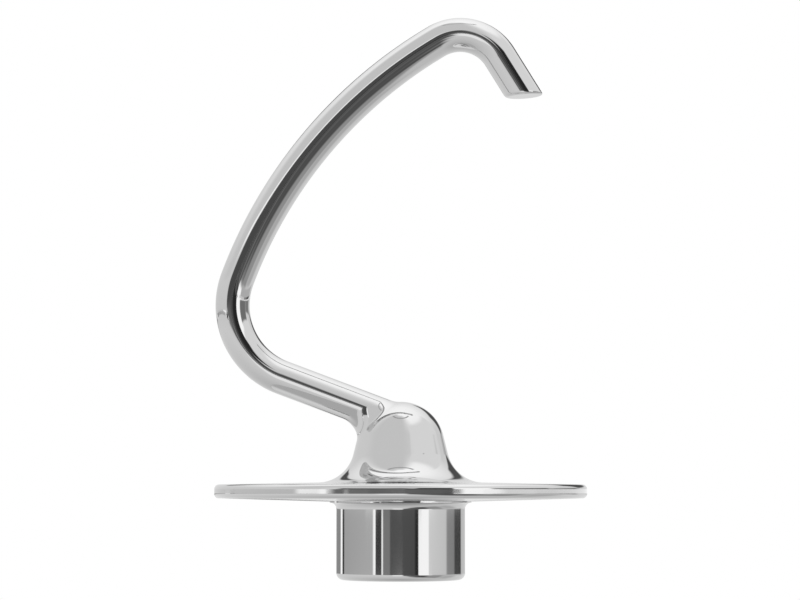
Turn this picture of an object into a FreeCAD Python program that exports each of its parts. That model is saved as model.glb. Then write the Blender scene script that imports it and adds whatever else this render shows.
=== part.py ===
"""Dough hook for a tilt-head stand mixer, standing on its hub.

A C-shaped bar arm rises from a domed neck. The neck sits on a round dough shield, and the hub below
the shield takes the mixer's beater shaft. The shaft's cross pin locks in a J-shaped slot that is milled
through the drive sleeve and closed on the outside by the hub shell.

Frame, in millimetres: the origin is the centre of the hub's rim, +Z runs up the shaft's axis towards
the hook, and the arm lies in the XZ plane and leaves the neck towards -X.
"""

import math
import os

import FreeCAD
import Part

V = FreeCAD.Vector
UP = V(0, 0, 1)
ACROSS = V(0, 1, 0)  # the normal of the plane that the arm lies in
AXIS_FOOT = V(0, 0, 0)

# Driving dimensions -------------------------------------------------------------------------------

SHIELD_R = 50.0
SHIELD_RIM_LOW = 21.8
SHIELD_RIM_HIGH = 25.5
SHIELD_EDGE_R = 1.3
SHIELD_UNDER_Z = 20.9  # the underside beside the hub, lower than at the rim
SHIELD_TOP_Z = 26.0  # the top beside the neck, higher than at the rim

HUB_R = 17.25
HUB_CORNER_R = 1.8
HUB_FLARE_R = 1.8
HUB_FLARE_LAND = 0.25  # the flare's outer edge, so that it has no feather edge
HUB_MOUTH_CHAMFER = 0.6
SOCKET_R = 12.5  # the hub shell's inside, which holds the drive sleeve and the neck's spigot

SHAFT_BORE_R = 6.45  # for a 12.7 mm beater shaft
SHAFT_BORE_TOP = 29.0
DRILL_POINT_ANGLE = 118.0
SLEEVE_RECESS = 0.5  # the sleeve stands this far inside the hub's rim
SLEEVE_TOP = 16.0
SLEEVE_CHAMFER = 0.8
SLEEVE_EDGE_BREAK = 0.3

PIN_SLOT_WIDTH = 5.2  # for a 4.8 mm cross pin
PIN_SLOT_TOP = 15.2
PIN_SLOT_TURN = 70.0  # degrees from the way in to the pocket
PIN_SLOT_ENTRY_ANGLE = 90.0
PIN_POCKET_DROP = 1.4

NECK_DOME_R = 11.8
NECK_DOME_Z = 35.9
NECK_FLANK_ANGLE = 14.0  # from the vertical
NECK_FOOT_FILLET = 10.0
NECK_SEAT_DEPTH = 0.8  # the foot is let into the shield by this much

BAR_WIDTH = 9.2  # in the hook's plane
BAR_DEPTH = 10.0  # across the hook's plane
BAR_JOINT_X, BAR_JOINT_Z = -17.5, 48.8  # where the arm meets the neck's stub, on the bar's centreline
BAR_RISE_ANGLE = 159.3  # the centreline's direction there, from +X towards +Z
FOOT_RUN = 15.4
LOWER_BEND_R, LOWER_BEND_TURN = 20.9, 89.7
BOW_R, BOW_TURN = 127.0, 38.7
UPPER_BEND_R, UPPER_BEND_TURN = 12.65, 89.3
TIP_X, TIP_Z = 33.0, 130.65  # a point of the saw cut at the arm's end
TIP_CUT_TILT = 4.0  # degrees from the level, up towards +X
TIP_EDGE_R = 0.8
TIP_SPARE = 20.0  # extra bar beyond the cut

TENON_R = 2.75
TENON_LENGTH = 8.0
STUB_LENGTH = 17.0
BLEND_R = 5.0  # the polished blend between the stub and the dome

CUTTER_SPARE = 1.0  # how far a cutter passes the metal that it cuts
SAW_BLOCK = 60.0  # the block that is cut away below the tip, larger than the tip on every side
SAME_PLACE = 1e-6


# Helpers ------------------------------------------------------------------------------------------


def at(x, z):
    """A point of the hook's plane."""
    return V(x, 0, z)


def heading(degrees):
    """The unit vector of the hook's plane at that angle from +X towards +Z."""
    turn = math.radians(degrees)
    return V(math.cos(turn), 0, math.sin(turn))


def line(a, b):
    return Part.LineSegment(a, b).toShape()


def arc(centre, radius, from_degrees, to_degrees):
    """An arc of the hook's plane, from one angle to the other."""
    ends = [centre + heading(d) * radius for d in (from_degrees, to_degrees)]
    middle = centre + heading((from_degrees + to_degrees) / 2) * radius
    return Part.Arc(ends[0], middle, ends[1]).toShape()


def outline(*pieces):
    """A closed outline from points and edges, with straight lines where two neighbours don't meet."""
    edges, here, start = [], None, None
    for piece in pieces:
        first = piece if isinstance(piece, V) else piece.firstVertex(True).Point
        if here is not None and (here - first).Length > SAME_PLACE:
            edges.append(line(here, first))
        if isinstance(piece, V):
            here = piece
        else:
            edges.append(piece)
            here = piece.lastVertex(True).Point
        start = start or first
    edges.append(line(here, start))
    return Part.Wire(edges)


def turned(*pieces):
    """A solid turned about the shaft's axis from an outline in the hook's plane."""
    return Part.Face(outline(*pieces)).revolve(AXIS_FOOT, UP, 360)


def save(shape, node):
    """Writes one node, and prints its size and whether it is sound."""
    shape.exportStep(f"parts/{node}.step")
    box = shape.optimalBoundingBox(False)
    print(
        f"{node:12s} {len(shape.Solids)} solid  {shape.Volume / 1000:7.2f} cm3  "
        f"{box.XLength:6.1f} x {box.YLength:6.1f} x {box.ZLength:6.1f} mm  valid {shape.isValid()}"
    )


# The hub ------------------------------------------------------------------------------------------


def hub_shell():
    """The turned outer sleeve: a rounded rim below, and a flare where it meets the shield above."""
    land_z = SHIELD_UNDER_Z - HUB_FLARE_LAND
    corner = at(HUB_R - HUB_CORNER_R, HUB_CORNER_R)
    flare = at(HUB_R + HUB_FLARE_R, land_z - HUB_FLARE_R)
    return turned(
        at(SOCKET_R + HUB_MOUTH_CHAMFER, 0),
        arc(corner, HUB_CORNER_R, -90, 0),
        arc(flare, HUB_FLARE_R, 180, 90),
        at(HUB_R + HUB_FLARE_R, SHIELD_UNDER_Z),
        at(SOCKET_R, SHIELD_UNDER_Z),
        at(SOCKET_R, HUB_MOUTH_CHAMFER),
    )


def slot_leg(angle, low, high):
    """A radial cut, as wide as the pin slot, at an angle about the shaft's axis."""
    corner = V(0, -PIN_SLOT_WIDTH / 2, low)
    leg = Part.makeBox(SOCKET_R + CUTTER_SPARE, PIN_SLOT_WIDTH, high - low, corner)
    leg.rotate(AXIS_FOOT, UP, angle)
    return leg


def pin_slot():
    """The J-shaped slot: in from the rim, round to one side, and back into a round-ended pocket."""
    half = PIN_SLOT_WIDTH / 2
    reach = SOCKET_R + CUTTER_SPARE
    land_top = PIN_SLOT_TOP - PIN_SLOT_WIDTH
    pocket_centre_z = land_top - PIN_POCKET_DROP + half
    pocket_angle = PIN_SLOT_ENTRY_ANGLE - PIN_SLOT_TURN
    way_in = slot_leg(PIN_SLOT_ENTRY_ANGLE, 0, PIN_SLOT_TOP)
    pocket = slot_leg(pocket_angle, pocket_centre_z, PIN_SLOT_TOP)
    pocket_end = Part.makeCylinder(half, reach, at(0, pocket_centre_z), V(1, 0, 0))
    pocket_end.rotate(AXIS_FOOT, UP, pocket_angle)
    round_turn = Part.makeCylinder(reach, PIN_SLOT_WIDTH, at(0, land_top), UP, PIN_SLOT_TURN)
    round_turn.rotate(AXIS_FOOT, UP, pocket_angle)
    return way_in.multiFuse([pocket, pocket_end, round_turn])


def drive_sleeve():
    """The bored sleeve that the shaft turns, with the J-slot through its wall."""
    low = SLEEVE_RECESS
    blank = turned(
        at(SHAFT_BORE_R + SLEEVE_CHAMFER, low),
        at(SOCKET_R - SLEEVE_EDGE_BREAK, low),
        at(SOCKET_R, low + SLEEVE_EDGE_BREAK),
        at(SOCKET_R, SLEEVE_TOP),
        at(SHAFT_BORE_R, SLEEVE_TOP),
        at(SHAFT_BORE_R, low + SLEEVE_CHAMFER),
    )
    return blank.cut(pin_slot())


# The shield ---------------------------------------------------------------------------------------


def neck_foot_r():
    """Where the neck's foot fillet runs out on the shield: tangent to the flank and to the level."""
    flank = heading(NECK_FLANK_ANGLE)
    touch = at(0, NECK_DOME_Z) + flank * NECK_DOME_R
    centre_z = SHIELD_TOP_Z + NECK_FOOT_FILLET
    return touch.x + (NECK_FOOT_FILLET + flank.z * (touch.z - centre_z)) / flank.x


def dough_shield():
    """The disc that keeps dough off the shaft: thick at the hub, with a rounded, thinner rim."""
    foot_r = neck_foot_r()
    edge_x = SHIELD_R - SHIELD_EDGE_R
    return turned(
        at(SOCKET_R, SHIELD_UNDER_Z),
        at(HUB_R + HUB_FLARE_R, SHIELD_UNDER_Z),
        arc(at(edge_x, SHIELD_RIM_LOW + SHIELD_EDGE_R), SHIELD_EDGE_R, -90, 0),
        arc(at(edge_x, SHIELD_RIM_HIGH - SHIELD_EDGE_R), SHIELD_EDGE_R, 0, 90),
        at(foot_r, SHIELD_TOP_Z),
        at(foot_r, SHIELD_TOP_Z - NECK_SEAT_DEPTH),
        at(SOCKET_R, SHIELD_TOP_Z - NECK_SEAT_DEPTH),
    )


# The neck -----------------------------------------------------------------------------------------


def bar_joint():
    return at(BAR_JOINT_X, BAR_JOINT_Z)


def bar_section(centre, along):
    """The bar's elliptical section, square to a direction in the hook's plane."""
    sideways = along.cross(ACROSS)
    ellipse = Part.Ellipse(
        centre + ACROSS * (BAR_DEPTH / 2), centre + sideways * (BAR_WIDTH / 2), centre
    )
    return Part.Face(Part.Wire(ellipse.toShape()))


def tenon(length):
    """The round tenon that joins the arm to the neck, from the joint's face into the neck."""
    return Part.makeCylinder(TENON_R, length, bar_joint(), heading(BAR_RISE_ANGLE) * -1)


def neck_body():
    """The turned neck: a spigot for the hub, a seat, a hollow foot fillet, a flank and a dome."""
    flank = heading(NECK_FLANK_ANGLE)
    dome = at(0, NECK_DOME_Z)
    foot_r = neck_foot_r()
    seat_z = SHIELD_TOP_Z - NECK_SEAT_DEPTH
    fillet = at(foot_r, SHIELD_TOP_Z + NECK_FOOT_FILLET)
    drill_point = SHAFT_BORE_R / math.tan(math.radians(DRILL_POINT_ANGLE / 2))
    return turned(
        at(SHAFT_BORE_R, SLEEVE_TOP),
        at(SOCKET_R, SLEEVE_TOP),
        at(SOCKET_R, seat_z),
        at(foot_r, seat_z),
        arc(fillet, NECK_FOOT_FILLET, -90, -180 + NECK_FLANK_ANGLE),
        arc(dome, NECK_DOME_R, NECK_FLANK_ANGLE, 90),
        at(0, SHAFT_BORE_TOP + drill_point),
        at(SHAFT_BORE_R, SHAFT_BORE_TOP),
    )


def meeting_edge(shape):
    """The closed edge that runs round the stub where it enters the dome."""
    rounds = [e for e in shape.Edges if e.isClosed() and e.BoundBox.ZLength > BAR_WIDTH / 2]
    return [e for e in rounds if BAR_JOINT_X < e.CenterOfMass.x < -BAR_WIDTH / 2][-1:]


def neck():
    """The neck with the stub that the arm is welded to, blended into the dome."""
    inwards = heading(BAR_RISE_ANGLE) * -1
    stub = bar_section(bar_joint(), inwards).extrude(inwards * STUB_LENGTH)
    whole = neck_body().fuse(stub)
    return whole.makeFillet(BLEND_R, meeting_edge(whole)).cut(tenon(TENON_LENGTH))


# The arm ------------------------------------------------------------------------------------------


def hook_arm():
    """The bent bar, made run by run along its centreline, then sawn almost level at the tip."""
    here, angle = bar_joint(), BAR_RISE_ANGLE
    runs = [bar_section(here, heading(angle)).extrude(heading(angle) * FOOT_RUN)]
    here = here + heading(angle) * FOOT_RUN
    for radius, turn in (
        (LOWER_BEND_R, LOWER_BEND_TURN),
        (BOW_R, BOW_TURN),
        (UPPER_BEND_R, UPPER_BEND_TURN),
    ):
        centre = here + heading(angle - 90) * radius
        runs.append(bar_section(here, heading(angle)).revolve(centre, ACROSS, turn))
        angle -= turn
        here = centre + heading(angle + 90) * radius
    runs.append(bar_section(here, heading(angle)).extrude(heading(angle) * TIP_SPARE))
    bar = runs[0].multiFuse(runs[1:]).removeSplitter()
    corner = V(TIP_X - SAW_BLOCK / 2, -SAW_BLOCK / 2, TIP_Z - SAW_BLOCK)
    below_tip = Part.makeBox(SAW_BLOCK, SAW_BLOCK, SAW_BLOCK, corner)
    below_tip.rotate(at(TIP_X, TIP_Z), ACROSS, -TIP_CUT_TILT)
    bar = bar.cut(below_tip)
    tip_edge = [e for e in bar.Edges if e.BoundBox.ZMax < TIP_Z + TIP_EDGE_R]
    return bar.makeFillet(TIP_EDGE_R, tip_edge).fuse(tenon(TENON_LENGTH))


os.makedirs("parts", exist_ok=True)
save(hub_shell(), "hub_shell")
save(drive_sleeve(), "drive_sleeve")
save(dough_shield(), "dough_shield")
save(neck(), "neck")
save(hook_arm(), "hook_arm")
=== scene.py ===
# %% [markdown]
# # A mirror-polished dough hook
#
# The hook is one of the attachments of a stand mixer. A bent steel bar kneads the dough, a round shield
# keeps the dough off the mixer, and the hub below the shield takes the mixer's shaft. Here it stands on its
# hub.
#
# A mirror has no colour of its own, so the work is in two things: surfaces that are smooth to the last
# hundredth of a millimetre, and a studio that is worth reflecting. The solids of the frame have the right
# sizes but flat facets, and a facet shows in a mirror. So each visible piece is made again over its solid,
# from the same dimensions, with a normal at every corner that comes from the shape's formula.

import bpy
import numpy as np
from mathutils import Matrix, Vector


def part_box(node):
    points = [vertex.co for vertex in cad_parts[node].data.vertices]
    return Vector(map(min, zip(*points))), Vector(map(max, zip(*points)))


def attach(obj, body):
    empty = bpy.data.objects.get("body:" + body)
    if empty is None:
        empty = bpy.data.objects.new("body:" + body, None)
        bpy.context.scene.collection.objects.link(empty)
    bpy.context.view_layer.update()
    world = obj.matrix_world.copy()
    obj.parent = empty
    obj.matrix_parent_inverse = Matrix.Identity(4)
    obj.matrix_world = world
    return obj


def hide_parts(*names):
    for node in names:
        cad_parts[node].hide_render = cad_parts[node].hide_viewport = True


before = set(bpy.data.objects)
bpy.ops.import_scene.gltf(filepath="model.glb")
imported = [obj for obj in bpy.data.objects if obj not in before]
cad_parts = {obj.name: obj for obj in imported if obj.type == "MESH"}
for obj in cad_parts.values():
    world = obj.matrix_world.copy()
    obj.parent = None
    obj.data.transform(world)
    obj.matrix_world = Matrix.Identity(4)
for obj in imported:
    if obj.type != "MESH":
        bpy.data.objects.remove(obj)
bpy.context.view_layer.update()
MM = 0.001
print("frame nodes:", ", ".join(sorted(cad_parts)))

# %% [markdown]
# ## Making a skin out of rings
#
# Every piece here is a pipe of some kind: a stack of closed rings, each ring a little further on. Blender
# could bevel a curve or spin a profile, but its normals would be averages of the faces around a corner, and
# an average is a few degrees off where a flat meets a round. A few degrees bend a reflection into a visible
# wave. So a patch of skin carries its own normals with it, and the mesh takes them as custom normals.
#
# Where two patches meet they share a ring of corners but not its normals: that gives a crisp edge where the
# real piece has one, and an invisible join where both patches have the same normals there.

# %% A piece from patches of rings
AROUND = 256
SAME_PLACE = 0.002 * MM


def same_ring(one, other):
    """Whether two rings are the same corners."""
    return one is not None and np.allclose(one, other, atol=SAME_PLACE)


def piece_of_skin(name, patches):
    """A closed mesh from patches: pairs of points in metres and normals, each (rings, AROUND, 3)."""
    corners, faces, normals = [], [], []
    last, last_rows, first_rows = None, None, None
    start = patches[0][0][0]
    for points, directions in patches:
        rows = []
        for ring in points:
            if same_ring(last, ring):
                rows.append(last_rows)
            elif rows and same_ring(start, ring):
                rows.append(first_rows)
            elif same_ring(ring[:1].repeat(AROUND, 0), ring):
                rows.append([len(corners)] * AROUND)
                corners.append(ring[0])
            else:
                rows.append(list(range(len(corners), len(corners) + AROUND)))
                corners.extend(ring)
            first_rows = first_rows or rows[-1]
            last, last_rows = ring, rows[-1]
        for k in range(len(points) - 1):
            for a in range(AROUND):
                b = (a + 1) % AROUND
                loop = ((k, a), (k, b), (k + 1, b), (k + 1, a))
                seen, face = set(), []
                for row, column in loop:
                    corner = rows[row][column]
                    if corner not in seen:
                        seen.add(corner)
                        face.append(corner)
                        normals.append(directions[row][column])
                faces.append(face)
    mesh = bpy.data.meshes.new(name)
    mesh.from_pydata([tuple(c) for c in corners], [], faces)
    mesh.polygons.foreach_set("use_smooth", [True] * len(faces))
    mesh.normals_split_custom_set([tuple(n) for n in normals])
    mesh.update()
    piece = bpy.data.objects.new(name, mesh)
    bpy.context.collection.objects.link(piece)
    size = [round(d / MM, 1) for d in piece.dimensions]
    print(f"{name}: {len(corners)} corners, {len(faces)} faces, {size} mm")
    return piece


# %% [markdown]
# ## Turned pieces
#
# The hub and the shield come off a lathe. An outline in the plane of radius and height is walked with the
# metal on its left, as straight stretches and arcs, and then turned about the shaft's axis. Each stretch
# keeps its own direction at both ends, and the outward normal is that direction turned right by 90 degrees.

# %% An outline and its turning
ANGLES = np.linspace(0, 2 * np.pi, AROUND, endpoint=False)
ARC_STEPS, WALL_STEPS, EDGE_STEPS = 24, 12, 4


def straight(start, end, steps=1):
    """A stretch of outline from one (radius, height) to another, in mm."""
    start, end = np.array(start, float), np.array(end, float)
    along = np.linspace(0, 1, steps + 1)[:, None]
    points = start + along * (end - start)
    return points, np.repeat([(end - start) / np.linalg.norm(end - start)], steps + 1, 0)


def rounded(centre, radius, start, end):
    """An arc of outline about a centre, between two angles in degrees."""
    angle = np.radians(np.linspace(start, end, ARC_STEPS + 1))
    spoke = np.stack([np.cos(angle), np.sin(angle)], 1)
    way = np.sign(end - start)
    return np.array(centre) + radius * spoke, way * np.stack([-spoke[:, 1], spoke[:, 0]], 1)


def turned(stretch):
    """The skin patch that a stretch of outline sweeps out when it is turned about the Z axis."""
    points, along = stretch
    r, z = points[:, :1], points[:, 1:]
    nr, nz = along[:, 1:], -along[:, :1]
    x, y, one = np.cos(ANGLES), np.sin(ANGLES), np.ones(AROUND)
    skin = np.stack([r * x, r * y, z * one], 2) * MM
    return skin, np.stack([nr * x, nr * y, nz * one], 2)


# %% [markdown]
# ## The hub shell and the shield
#
# The hub is a short tube with a well-rounded rim below and a small flare above, where it is pressed and
# ground against the shield. The shield is a disc that is a little thicker at the hub than at its rim, and
# its edge is rounded over by the polishing wheel, above and below. Radii and heights come from the frame.

# %% Sizes that the frame gives
hub_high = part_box("hub_shell")[1]
shield_low, shield_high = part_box("dough_shield")
SHIELD_R = shield_high[0] / MM
SHIELD_UNDER_Z, SHIELD_TOP_Z = shield_low[2] / MM, shield_high[2] / MM
FLARE_EDGE_R = hub_high[0] / MM
print(f"shield radius {SHIELD_R:.2f}, from {SHIELD_UNDER_Z:.2f} up to {SHIELD_TOP_Z:.2f} mm")

# %% The hub shell
SOCKET_R = 12.5
FLARE_R = 1.8
FLARE_LAND = 0.25
RIM_CORNER_R = 1.8
MOUTH_CHAMFER = 0.6
hub_r = FLARE_EDGE_R - FLARE_R
land_z = SHIELD_UNDER_Z - FLARE_LAND

hub_outline = [
    straight((SOCKET_R + MOUTH_CHAMFER, 0), (hub_r - RIM_CORNER_R, 0)),
    rounded((hub_r - RIM_CORNER_R, RIM_CORNER_R), RIM_CORNER_R, -90, 0),
    straight((hub_r, RIM_CORNER_R), (hub_r, land_z - FLARE_R), WALL_STEPS),
    rounded((FLARE_EDGE_R, land_z - FLARE_R), FLARE_R, 180, 90),
    straight((FLARE_EDGE_R, land_z), (FLARE_EDGE_R, SHIELD_UNDER_Z)),
    straight((FLARE_EDGE_R, SHIELD_UNDER_Z), (SOCKET_R, SHIELD_UNDER_Z)),
    straight((SOCKET_R, SHIELD_UNDER_Z), (SOCKET_R, MOUTH_CHAMFER)),
    straight((SOCKET_R, MOUTH_CHAMFER), (SOCKET_R + MOUTH_CHAMFER, 0)),
]
hub_shell = piece_of_skin("hub_shell_skin", [turned(s) for s in hub_outline])

# %% The dough shield
SHIELD_EDGE_R = 1.3
RIM_LOW_Z, RIM_HIGH_Z = 21.8, 25.5
NECK_FOOT_R = 22.442
NECK_SEAT_Z = 25.2
edge_r = SHIELD_R - SHIELD_EDGE_R

shield_outline = [
    straight((SOCKET_R, SHIELD_UNDER_Z), (FLARE_EDGE_R, SHIELD_UNDER_Z)),
    straight((FLARE_EDGE_R, SHIELD_UNDER_Z), (edge_r, RIM_LOW_Z), WALL_STEPS),
    rounded((edge_r, RIM_LOW_Z + SHIELD_EDGE_R), SHIELD_EDGE_R, -90, 0),
    straight((SHIELD_R, RIM_LOW_Z + SHIELD_EDGE_R), (SHIELD_R, RIM_HIGH_Z - SHIELD_EDGE_R), EDGE_STEPS),
    rounded((edge_r, RIM_HIGH_Z - SHIELD_EDGE_R), SHIELD_EDGE_R, 0, 90),
    straight((edge_r, RIM_HIGH_Z), (NECK_FOOT_R, SHIELD_TOP_Z), WALL_STEPS),
    straight((NECK_FOOT_R, SHIELD_TOP_Z), (NECK_FOOT_R, NECK_SEAT_Z)),
    straight((NECK_FOOT_R, NECK_SEAT_Z), (SOCKET_R, NECK_SEAT_Z)),
    straight((SOCKET_R, NECK_SEAT_Z), (SOCKET_R, SHIELD_UNDER_Z)),
]
shield = piece_of_skin("dough_shield_skin", [turned(s) for s in shield_outline])

# %% [markdown]
# ## The bar's line
#
# The arm is one bar, bent cold round three formers: a tight bend near the neck, a long bow, and a tight
# bend before the tip. Its middle line is straight stretches and arcs that meet without a kink, in one plane.
# The bar is a little deeper than wide, as drawn bar is after bending and grinding, so its section is an
# ellipse. Around the bar, places go by their true angle, so that rings of the arm and of the neck can meet.

# %% Walking along the bar
BAR_WIDTH, BAR_DEPTH = 9.2, 10.0
BAR_JOINT = np.array([-17.5, 0, 48.8])
BAR_RISE = np.radians(159.3)
FOOT_RUN = 15.4
BENDS = ((20.9, 89.7), (127.0, 38.7), (12.65, 89.3))  # radius in mm, turn in degrees
ACROSS = np.array([0, 1, 0])  # the normal of the hook's plane
STEP = 0.5
LEAST_BEND_STEPS = 24


def heading(angle):
    """The unit vector at an angle from +X towards +Z, in the hook's plane."""
    return np.stack([np.cos(angle), 0 * angle, np.sin(angle)], -1)


def bar_stops():
    """Places and headings along the bar's middle line, and its last place and heading."""
    here, angle = BAR_JOINT, BAR_RISE
    run = np.arange(0, FOOT_RUN, STEP)[:, None]
    places, headings = [here + run * heading(angle)], [np.full(len(run), angle)]
    here = here + FOOT_RUN * heading(angle)
    for radius, degrees in BENDS:
        turn = np.radians(degrees)
        centre = here + radius * heading(angle - np.pi / 2)
        steps = int(radius * turn / STEP) + LEAST_BEND_STEPS
        turns = np.linspace(0, turn, steps, endpoint=False)
        places.append(centre + radius * heading(angle - turns + np.pi / 2))
        headings.append(angle - turns)
        angle = angle - turn
        here = centre + radius * heading(angle + np.pi / 2)
    return np.concatenate(places), np.concatenate(headings), here, angle


def bar_reach(around):
    """How far the bar's skin is from its middle line, at angles from the plane's normal."""
    return 1 / np.hypot(np.cos(around) / (BAR_DEPTH / 2), np.sin(around) / (BAR_WIDTH / 2))


def bar_rings(places, headings):
    """The bar's skin and its normals, one ring for each place."""
    sideways = heading(headings - np.pi / 2)[:, None, :]
    c, s = np.cos(ANGLES)[None, :, None], np.sin(ANGLES)[None, :, None]
    skin = places[:, None, :] + bar_reach(ANGLES)[None, :, None] * (c * ACROSS - s * sideways)
    out = c / (BAR_DEPTH / 2) ** 2 * ACROSS - s / (BAR_WIDTH / 2) ** 2 * sideways
    return skin, out / np.linalg.norm(out, axis=2, keepdims=True)


bar_places, bar_headings, tip_place, tip_heading = bar_stops()
print(f"the bar's top is at {max(bar_places[:, 2]) + BAR_WIDTH / 2:.2f} mm")

# %% [markdown]
# ## The arm
#
# The arm starts with a flat face against the neck's stub and ends in a tip that is sawn almost level and
# lightly broken at the edge. Along the tip each line of the skin is carried on to the saw cut. The broken
# edge is a curve that leaves the skin, bends towards the sharp corner and ends in the cut.

# %% The arm's skin
TIP_CUT = np.array([33.0, 0, 130.65])
TIP_CUT_TILT = np.radians(4)
TIP_EDGE = 1.0
TIP_EDGE_STEPS = 8


def flat_end(ring, centre, facing, outwards):
    """A flat end between a ring and its centre; the rings go outwards or inwards."""
    hub = np.repeat([centre], AROUND, 0)
    rings = [hub, ring] if outwards else [ring, hub]
    return np.stack(rings), np.broadcast_to(facing, (2, AROUND, 3))


def tip_patches():
    """The bar's last straight run, its broken edge and its level end, in mm."""
    ring, out = bar_rings(tip_place[None], np.array([tip_heading]))
    ring, out, along = ring[0], out[0], heading(tip_heading)
    facing = -heading(TIP_CUT_TILT + np.pi / 2)
    sharp = ring + (((TIP_CUT - ring) @ facing) / (along @ facing))[:, None] * along
    middle = sharp.mean(0)
    inward = (middle - sharp) / np.linalg.norm(middle - sharp, axis=1, keepdims=True)
    leave, land = sharp - TIP_EDGE * along, sharp + TIP_EDGE * inward
    t = np.linspace(0, 1, TIP_EDGE_STEPS + 1)[:, None, None]
    edge = (1 - t) ** 2 * leave + 2 * t * (1 - t) * sharp + t**2 * land
    onward = (1 - t) * (sharp - leave) + t * (land - sharp)
    around = np.roll(edge, -1, 1) - np.roll(edge, 1, 1)
    normal = np.cross(around, onward)
    normal /= np.linalg.norm(normal, axis=2, keepdims=True)
    run = (np.stack([ring, leave]), np.stack([out, out]))
    return [run, (edge, normal), flat_end(land, middle, facing, outwards=False)]


bar_places = np.concatenate([bar_places, tip_place[None]])
bar_headings = np.append(bar_headings, tip_heading)
bar_skin = bar_rings(bar_places, bar_headings)
butt = flat_end(bar_skin[0][0], BAR_JOINT, -heading(BAR_RISE), outwards=True)
arm_patches = [(p * MM, n) for p, n in (butt, bar_skin, *tip_patches())]
hook_arm = piece_of_skin("hook_arm_skin", arm_patches)

# %% [markdown]
# ## The neck
#
# The neck is turned as a dome on a flank that flares into the shield. The bar's stub is then welded on and
# the whole joint is ground into one flowing form. A boolean would leave a seam of odd faces there, so the
# form is written as a rule instead: how far a point is from the turned body, how far it is from the bar,
# and where both are near, how far it is from a round that touches both. The skin is where that distance is
# zero.
#
# To lay rings on it, a plane swings about a hinge beside the neck, from the foot up to the bar's joint. In
# each plane the skin is looked for outwards from a middle point, by halving. The swing starts slowly,
# because near the foot a small swing crosses much of the flare.

# %% How far from the turned body, and from the bar
DOME_R, DOME_Z = 11.8, 35.9
FLANK = np.radians(14)
FOOT_FILLET = 10.0
STUB_LENGTH = 17.0
TINY = 1e-9  # keeps a division by a length away from zero
flank_out = np.array([np.cos(FLANK), np.sin(FLANK)])
flank_down = np.array([np.sin(FLANK), -np.cos(FLANK)])
dome_centre = np.array([0, DOME_Z])
fillet_centre = np.array([NECK_FOOT_R, SHIELD_TOP_Z + FOOT_FILLET])
flank_length = (fillet_centre - dome_centre) @ flank_down


def unit(vectors):
    return vectors / np.linalg.norm(vectors, axis=-1, keepdims=True)


def body_gap(p):
    """The distance from the dome, flank and foot fillet in mm, and the direction away from them."""
    radius = np.maximum(np.hypot(p[..., 0], p[..., 1]), TINY)
    q = np.stack([np.minimum(radius, NECK_FOOT_R), p[..., 2]], -1)
    down = (q - dome_centre) @ flank_down
    on_dome, on_foot = (down < 0)[..., None], (down > flank_length)[..., None]
    out = np.where(on_foot, unit(fillet_centre - q), flank_out)
    out = np.where(on_dome, unit(q - dome_centre), out)
    gap = (q - dome_centre) @ flank_out - DOME_R
    gap = np.where(on_foot[..., 0], FOOT_FILLET - np.linalg.norm(fillet_centre - q, axis=-1), gap)
    gap = np.where(on_dome[..., 0], np.linalg.norm(q - dome_centre, axis=-1) - DOME_R, gap)
    level = out[..., 0] / radius
    return gap, np.stack([p[..., 0] * level, p[..., 1] * level, out[..., 1]], -1)


def bar_gap(p):
    """The distance from the bar in mm, the direction away from it, and the way along it."""
    rise = heading(BAR_RISE - np.pi / 2)
    across, up = (p - BAR_JOINT) @ ACROSS, (p - BAR_JOINT) @ rise
    size = np.maximum(np.hypot(across / (BAR_DEPTH / 2), up / (BAR_WIDTH / 2)), TINY)
    slope_across = across / (BAR_DEPTH / 2) ** 2 / size
    slope_up = up / (BAR_WIDTH / 2) ** 2 / size
    slope = np.maximum(np.hypot(slope_across, slope_up), TINY)
    out = (slope_across / slope)[..., None] * ACROSS + (slope_up / slope)[..., None] * rise
    return (size - 1) / slope, out, (p - BAR_JOINT) @ -heading(BAR_RISE)


# %% The blended neck
BLEND_R = 5.0
PARALLEL = 0.999  # the cosine from which two directions count as the same


def neck_gap(p):
    """The distance from the neck in mm: the nearer of body and bar, or the round that touches both."""
    (body, body_out), (bar, bar_out, along) = body_gap(p), bar_gap(p)
    lean = np.clip((body_out * bar_out).sum(-1), -PARALLEL, PARALLEL)
    to_body, to_bar = BLEND_R - body, BLEND_R - bar
    square = to_body**2 + to_bar**2 - 2 * to_body * to_bar * lean
    blended = BLEND_R - np.sqrt(square / (1 - lean**2))
    between = (to_body > to_bar * lean) & (to_bar > to_body * lean) & (to_body + to_bar > 0)
    joined = np.where(between, blended, np.minimum(body, bar))
    return np.where(along < STUB_LENGTH, joined, body)


def steepest(p, step=1e-3):
    """The direction in which the distance from the neck grows fastest: the skin's normal."""
    shifts = np.eye(3) * step
    return unit(np.stack([neck_gap(p + s) - neck_gap(p - s) for s in shifts], -1))


# %% Rings on swinging planes
SWING_STEPS = 240
SPOKE_SPREAD = 1.6
SEARCH_R = 25.0
HALVINGS = 44

swing_end = BAR_RISE - np.pi / 2
hinge = np.array([BAR_JOINT[0] - (BAR_JOINT[2] - SHIELD_TOP_Z) / np.tan(swing_end), 0, SHIELD_TOP_Z])
joint_reach = np.linalg.norm(BAR_JOINT - hinge)


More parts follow.
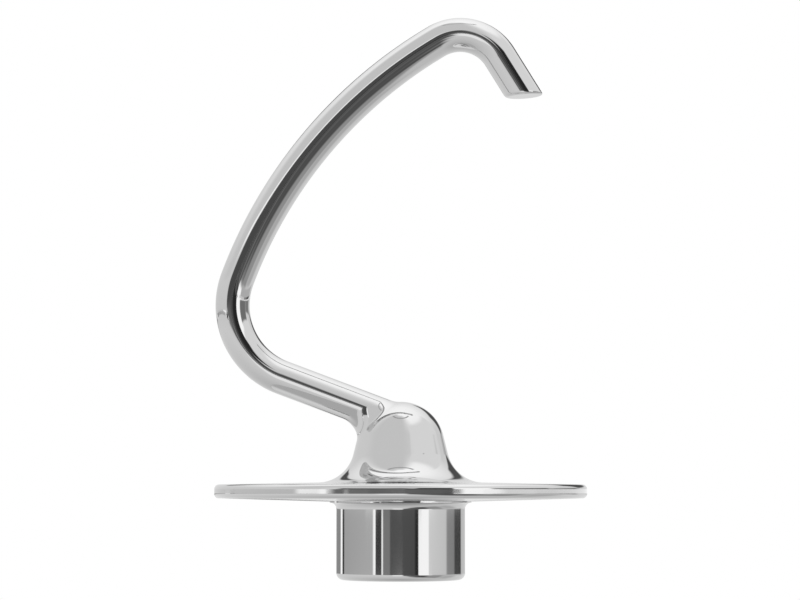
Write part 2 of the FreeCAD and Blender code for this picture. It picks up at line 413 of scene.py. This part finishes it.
def swing_rings():
    """The neck's skin from its foot to the bar's joint, and its normals, in mm."""
    part = np.linspace(0, 1, SWING_STEPS + 1)
    swing = swing_end * part**2
    share = swing / swing_end
    reach = -hinge[0] * (1 - share) + joint_reach * share + SPOKE_SPREAD * np.sin(np.pi * share)
    spoke = heading(swing)
    middle = (hinge + reach[:, None] * spoke)[:, None, :]
    ray = np.cos(ANGLES)[:, None] * ACROSS - np.sin(ANGLES)[:, None] * spoke[:, None, :]
    near = np.zeros(ray.shape[:2])
    far = near + SEARCH_R
    for _ in range(HALVINGS):
        half = (near + far) / 2
        inside = neck_gap(middle + half[..., None] * ray) < 0
        near, far = np.where(inside, half, near), np.where(inside, far, half)
    skin = middle + near[..., None] * ray
    return skin, steepest(skin)


# %% The bore, the spigot and the whole neck
SHAFT_BORE_R = 6.45
SHAFT_BORE_TOP = 29.0
DRILL_POINT_ANGLE = 118
DRILL_POINT = SHAFT_BORE_R / np.tan(np.radians(DRILL_POINT_ANGLE / 2))
SPIGOT_Z = 16.0

neck_inside = [
    straight((0, SHAFT_BORE_TOP + DRILL_POINT), (SHAFT_BORE_R, SHAFT_BORE_TOP)),
    straight((SHAFT_BORE_R, SHAFT_BORE_TOP), (SHAFT_BORE_R, SPIGOT_Z)),
    straight((SHAFT_BORE_R, SPIGOT_Z), (SOCKET_R, SPIGOT_Z)),
    straight((SOCKET_R, SPIGOT_Z), (SOCKET_R, NECK_SEAT_Z)),
    straight((SOCKET_R, NECK_SEAT_Z), (NECK_FOOT_R, NECK_SEAT_Z)),
    straight((NECK_FOOT_R, NECK_SEAT_Z), (NECK_FOOT_R, SHIELD_TOP_Z)),
]
quarter = -AROUND // 4  # turned rings start at +X, and the bar's start at the normal of the hook's plane
neck_patches = [tuple(np.roll(a, quarter, 1) for a in turned(s)) for s in neck_inside]
swept, swept_normals = swing_rings()
stub_end = flat_end(swept[-1], BAR_JOINT, heading(BAR_RISE), outwards=False)
neck_patches += [(swept * MM, swept_normals), (stub_end[0] * MM, stub_end[1])]
neck = piece_of_skin("neck_skin", neck_patches)
print("gap between the arm's and the neck's ring, mm:", np.abs(swept[-1] - bar_skin[0][0]).max())

# %% [markdown]
# ## Mirror-polished stainless steel
#
# The hook is 18/8 stainless steel, welded, ground, and then buffed on a cloth wheel with ever finer
# compound. Stainless reflects about two thirds of the light, with no tint to speak of, and buffed this far
# it is a mirror: a dark room shows as a dark band with a crisp edge. What tells it from glass or chrome is
# the last trace of the wheel. That is a waviness of a few millimetres, which bends the edge of a reflection
# a little, and a haze in soft patches where the wheel pressed less, which blurs it a little. Both are far
# too shallow to model, so they are a bump and a change of roughness, and neither changes the colour.

# %% Colours and nodes
def linear(tone):
    """An sRGB tone from 0 to 1 as linear light."""
    return tone / 12.92 if tone <= 0.04045 else ((tone + 0.055) / 1.055) ** 2.4


def paint(code):
    """An sRGB hex colour as linear light."""
    return [linear(int(code[i : i + 2], 16) / 255) for i in (1, 3, 5)] + [1]


def add_node(tree, kind, settings=None, **inputs):
    """Adds one node. Settings are its properties. An input is a value, or the output that feeds it.

    An input goes by its name with _ for a space, or by its number after a _.
    """
    node = tree.nodes.new(kind)
    for name, value in (settings or {}).items():
        setattr(node, name, value)
    for name, source in inputs.items():
        key = int(name[1:]) if name[1:].isdigit() else name.replace("_", " ")
        if isinstance(source, bpy.types.NodeSocket):
            tree.links.new(source, node.inputs[key])
        else:
            node.inputs[key].default_value = source
    return node


def metal(name, colour):
    """A new metal, its node tree, its shader, and the output that gives a place on the piece."""
    material = bpy.data.materials.new(name)
    material.use_nodes = True
    tree = material.node_tree
    shader = tree.nodes["Principled BSDF"]
    shader.inputs["Base Color"].default_value = paint(colour)
    shader.inputs["Metallic"].default_value = 1
    return material, tree, shader, add_node(tree, "ShaderNodeTexCoord").outputs["Object"]


# %% The polished steel
STEEL_COLOUR = "#dadada"
WAVE_LENGTH, WAVE_HEIGHT, WAVE_DETAIL = 6.0, 0.001, 1.0
HAZE_LENGTH, HAZE_STRETCH, HAZE_DETAIL = 9.0, 3.0, 4.0
HAZE_LOW, HAZE_HIGH = 0.03, 0.07

polished, tree, shader, place = metal("mirror_polished_stainless_steel", STEEL_COLOUR)
waves = {"Scale": 1 / (WAVE_LENGTH * MM), "Detail": WAVE_DETAIL}
wave = add_node(tree, "ShaderNodeTexNoise", Vector=place, **waves)
wavy = add_node(tree, "ShaderNodeBump", Height=wave.outputs["Fac"], Distance=WAVE_HEIGHT * MM)
along = add_node(tree, "ShaderNodeMapping", Vector=place, Scale=(1, 1, 1 / HAZE_STRETCH))
patches = {"Scale": 1 / (HAZE_LENGTH * MM), "Detail": HAZE_DETAIL}
haze = add_node(tree, "ShaderNodeTexNoise", Vector=along.outputs["Vector"], **patches)
rough = add_node(tree, "ShaderNodeMapRange", Value=haze.outputs["Fac"], To_Min=HAZE_LOW, To_Max=HAZE_HIGH)
tree.links.new(wavy.outputs["Normal"], shader.inputs["Normal"])
tree.links.new(rough.outputs["Result"], shader.inputs["Roughness"])

finer = {"hook_arm": hook_arm, "neck": neck, "dough_shield": shield, "hub_shell": hub_shell}
for node, piece in finer.items():
    piece.data.materials.append(polished)
    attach(piece, "root")
    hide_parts(node)
print(f"{polished.name}: {STEEL_COLOUR}, roughness {HAZE_LOW} to {HAZE_HIGH}")

# %% [markdown]
# ## Machined stainless steel
#
# The drive sleeve inside the hub is the same steel, bored and slotted but never buffed, because nobody sees
# it. The boring tool leaves a fine helix of ridges round the axis, so the shine there is a soft streak
# along the shaft. The solid's own shape is right as it is, so it stays and only gets this finish. The
# ridges are about 0.1 mm apart on the real sleeve and are drawn 0.4 mm apart, because finer ones would not
# show.

# %% The machined steel
MACHINED_COLOUR = "#c4c5c7"
RIDGE_SPACING, RIDGE_HEIGHT = 0.4, 0.006
RIDGE_WANDER = 0.6
MACHINED_LOW, MACHINED_HIGH = 0.24, 0.4
PLAIN_SPACING = 2 * np.pi / 20  # how far apart a wave texture's bands are at a scale of 1

machined, tree, shader, place = metal("machined_stainless_steel", MACHINED_COLOUR)
ridges = add_node(
    tree,
    "ShaderNodeTexWave",
    {"bands_direction": "Z"},
    Vector=place,
    Scale=PLAIN_SPACING / (RIDGE_SPACING * MM),
    Distortion=RIDGE_WANDER,
)
ridged = add_node(tree, "ShaderNodeBump", Height=ridges.outputs["Fac"], Distance=RIDGE_HEIGHT * MM)
wear = add_node(tree, "ShaderNodeTexNoise", Vector=place, Scale=1 / (WAVE_LENGTH * MM))
wear_range = {"To_Min": MACHINED_LOW, "To_Max": MACHINED_HIGH}
worn = add_node(tree, "ShaderNodeMapRange", Value=wear.outputs["Fac"], **wear_range)
tree.links.new(ridged.outputs["Normal"], shader.inputs["Normal"])
tree.links.new(worn.outputs["Result"], shader.inputs["Roughness"])

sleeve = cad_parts["drive_sleeve"]
sleeve.data.materials.clear()
sleeve.data.materials.append(machined)
print(f"{machined.name}: {MACHINED_COLOUR}, ridges {RIDGE_SPACING} mm apart, on {sleeve.name}")

# %% [markdown]
# ## The studio
#
# Mirror steel shows nothing but its surroundings, so the studio is drawn as carefully as the hook. It is a
# white tent with a gap at the front, where the dark room looks in, a bright strip lamp to the right of the
# gap, and walls further round. Building it from sheets of cloth would work as well, but light bounces
# slowly to and fro in a closed tent, so here the tent is the world itself, drawn by nodes.
#
# A tone that changes with height makes the tent. Panels are then laid on it one after another, each between
# two compass angles and two heights: 0 is towards the front and 90 to its right, and a height of 90 is
# straight up. Each panel has its own blur, sideways and up and down. The low walls of the hub and the rim
# of the shield only see a thin slice near the horizon, so their stripes are shallow panels of their own.

# %% Tones of the tent, by height, and its panels
TENT = [
    (-90, 0.6), (-60, 0.7), (-40, 0.74), (-12, 0.78), (0, 0.76), (22, 0.78), (38, 0.85), (60, 0.93),
    (90, 0.97),
]
PANELS = [
    # from, to, low, high, tone, blur sideways, blur up and down
    (-95, 28, 20, 84, 0.75, 25, 4),  # the front of the tent, above the gap
    (27, 118, 15, 52, 0.82, 2, 6),  # a brighter sheet beside it
    (-78, 78, 74, 77, 0.58, 2, 0.7),  # the seam of the roof
    (-50, -5, 21, 25, 0.95, 5, 1),  # a lit hem above the gap
    (-38, 4, 2, 21, 0.27, 3, 1.5),  # the gap, left of the stand
    (2.5, 12, -3, 15, 0.18, 1, 2),  # the gap, right of it
    (10, 33, -4, 26, 0.14, 2, 2),  # the darkest of it, beside the lamp
    (-34, -7, -3, 4, 0.36, 5, 2),  # the stand
    (4, 16, -15, 0, 0.33, 2, 2),  # the dark floor beside the table
    (12, 36, -28, -3, 0.3, 8, 4),  # nearer
    (24, 60, -42, -9, 0.29, 12, 5),  # and nearer still
    (50, 84, -46, -10, 0.54, 8, 3),  # the floor further round
    (84, 118, -46, -12, 0.65, 10, 4),  # and further
    (32.5, 58, -7, 22, 0.96, 1.5, 2),  # the right strip lamp
    (58, 104, 0, 18, 0.42, 4, 1.5),  # the right wall
    (104, 140, 0, 11, 0.46, 6, 1.5),  # where it turns
    (58, 140, -10, 0, 0.66, 4, 1.5),  # the skirting below it
    (143, 170, 9, 31, 0.28, 3, 3),  # a dark doorway behind
    (-172, -155, 20, 30, 0.28, 2, 2),  # and another
    (-14, 3, -20, -3, 0.88, 3, 2),  # the front of the table
]
print(f"{len(TENT)} tones, {len(PANELS)} panels")

# %% Stripes at the horizon: the rim of the shield sees the upper slice, and the hub's wall the lower one
RIM_SLICE, RIM_BLUR = (-0.25, 0.8), 0.1
RIM_STRIPES = [
    (-180, 0.75), (-68, 0.72), (-64, 0.95), (-46, 0.95), (-40, 0.4),
    (35, 0.38), (39, 0.95), (61, 0.95), (68, 0.82), (180, 0.85),
]
HUB_SLICE, HUB_BLUR = (-2.2, -0.25), 0.1
HUB_STRIPES = [
    (-180, 0.5), (-137, 0.5), (-136, 0.95), (-128.5, 0.95), (-128, 0.22), (-121.5, 0.22), (-121, 0.6),
    (-51, 0.64), (-50, 0.95), (-45.5, 0.95), (-45, 0.22), (-34.5, 0.22), (-34, 0.9), (-31.5, 0.9),
    (-31, 0.45), (-20, 0.45), (-18, 0.3), (24, 0.28), (27, 0.13), (31, 0.13), (31.5, 0.95), (50.5, 0.95),
    (51.5, 0.78), (88, 0.74), (92, 0.5), (110, 0.48), (114, 0.25), (135, 0.25), (139, 0.7), (180, 0.7),
]
print(f"{len(RIM_STRIPES)} stops for the rim and {len(HUB_STRIPES)} for the hub")

# %% Laying the panels
WHITE = (1, 1, 1, 1)
STRAIGHT_UP, HALF_ROUND = 90.0, 180.0

world = bpy.data.worlds.new("white_tent")
bpy.context.scene.world = world
world.use_nodes = True
tent = world.node_tree


def grey(tone):
    """The light that shows in the steel as that tone of grey, from 0 to 1."""
    level = linear(tone) / paint(STEEL_COLOUR)[0]
    return (level, level, level, 1)


look = add_node(tent, "ShaderNodeTexCoord").outputs["Generated"]
right, back, up = add_node(tent, "ShaderNodeSeparateXYZ", Vector=look).outputs
front = add_node(tent, "ShaderNodeMath", {"operation": "MULTIPLY"}, _0=back, _1=-1.0).outputs[0]
around = add_node(tent, "ShaderNodeMath", {"operation": "ARCTAN2"}, _0=right, _1=front).outputs[0]
compass = add_node(tent, "ShaderNodeMath", {"operation": "DEGREES"}, _0=around).outputs[0]
rise = add_node(tent, "ShaderNodeMath", {"operation": "ARCSINE"}, _0=up).outputs[0]
height = add_node(tent, "ShaderNodeMath", {"operation": "DEGREES"}, _0=rise).outputs[0]

ramps = (
    (height, STRAIGHT_UP, TENT),
    (compass, HALF_ROUND, RIM_STRIPES),
    (compass, HALF_ROUND, HUB_STRIPES),
)
lights = []
for angle, reach, stripes in ramps:
    part = add_node(tent, "ShaderNodeMapRange", Value=angle, From_Min=-reach, From_Max=reach)
    ramp = add_node(tent, "ShaderNodeValToRGB", Fac=part.outputs["Result"])
    stops = ramp.color_ramp.elements
    for place_on, _ in stripes[1:-1]:
        stops.new(place_on / reach / 2 + 0.5)
    for stop, (_, tone) in zip(stops, stripes):
        stop.color = grey(tone)
    lights.append(ramp.outputs["Color"])

picture, rim_light, hub_light = lights
layers = [
    (((compass, side_blur, (left, right)), (height, height_blur, (low, high))), grey(tone))
    for left, right, low, high, tone, side_blur, height_blur in PANELS
]
layers += [(((height, RIM_BLUR, RIM_SLICE),), rim_light), (((height, HUB_BLUR, HUB_SLICE),), hub_light)]
for limits, light in layers:
    share = 1.0
    for angle, blur, edges in limits:
        for edge, way in zip(edges, (blur, -blur)):
            soft = {"Value": angle, "From_Min": edge - way, "From_Max": edge + way}
            inside = add_node(tent, "ShaderNodeMapRange", {"interpolation_type": "SMOOTHSTEP"}, **soft)
            both = {"_0": share, "_1": inside.outputs["Result"]}
            share = add_node(tent, "ShaderNodeMath", {"operation": "MULTIPLY"}, **both).outputs[0]
    laid = add_node(tent, "ShaderNodeMix", {"data_type": "RGBA"}, _0=share, _6=picture, _7=light)
    picture = laid.outputs[2]

backdrop = add_node(tent, "ShaderNodeLightPath").outputs["Is Camera Ray"]
seen = add_node(tent, "ShaderNodeMix", {"data_type": "RGBA"}, _0=backdrop, _6=picture, _7=WHITE)
tent.links.new(seen.outputs[2], tent.nodes["Background"].inputs["Color"])
print(f"{len(PANELS)} panels on the tent")

# %% [markdown]
# ## The light table
#
# The hook stands on a sheet of opal acrylic lit from below, which is how a piece is shown on pure white
# with no shadow. The sheet glows evenly, so it needs one shader that gives out white light. The tent has
# its own floor and table for the steel to mirror, so the steel doesn't see the sheet.

# %% The floor
FLOOR_SIZE = 4000.0
GLOW = 1.0

opal = bpy.data.materials.new("opal_light_table")
opal.use_nodes = True
tree = opal.node_tree
glow = add_node(tree, "ShaderNodeEmission", Color=WHITE, Strength=GLOW)
tree.links.new(glow.outputs["Emission"], tree.nodes["Material Output"].inputs["Surface"])

half = FLOOR_SIZE / 2 * MM
corners = [(-half, -half, 0), (half, -half, 0), (half, half, 0), (-half, half, 0)]
floor_mesh = bpy.data.meshes.new("floor")
floor_mesh.from_pydata(corners, [], [list(range(len(corners)))])
floor_mesh.materials.append(opal)
floor = bpy.data.objects.new("floor", floor_mesh)
bpy.context.collection.objects.link(floor)
floor.visible_glossy = False
print(f"floor {FLOOR_SIZE / 1000:.0f} m square")

# %% [markdown]
# ## The camera
#
# The hook is seen from the front, with the lens level with the shield, so that the shield shows only its
# rim. The camera tilts up to bring the whole hook into the frame. The view transform is the plain one,
# because the usual filmic one would turn the white around the hook into light grey.

# %% The camera and the last line
LENS = 117.0
CAMERA_PLACE = (-0.19, -700.8, 24.0)
CAMERA_TILT = 4.18

camera_data = bpy.data.cameras.new("camera")
camera_data.lens = LENS
camera = bpy.data.objects.new("camera", camera_data)
bpy.context.collection.objects.link(camera)
camera.location = [c * MM for c in CAMERA_PLACE]
camera.rotation_euler = (np.radians(90 + CAMERA_TILT), 0, 0)
bpy.context.scene.camera = camera
bpy.context.scene.view_settings.view_transform = "Standard"
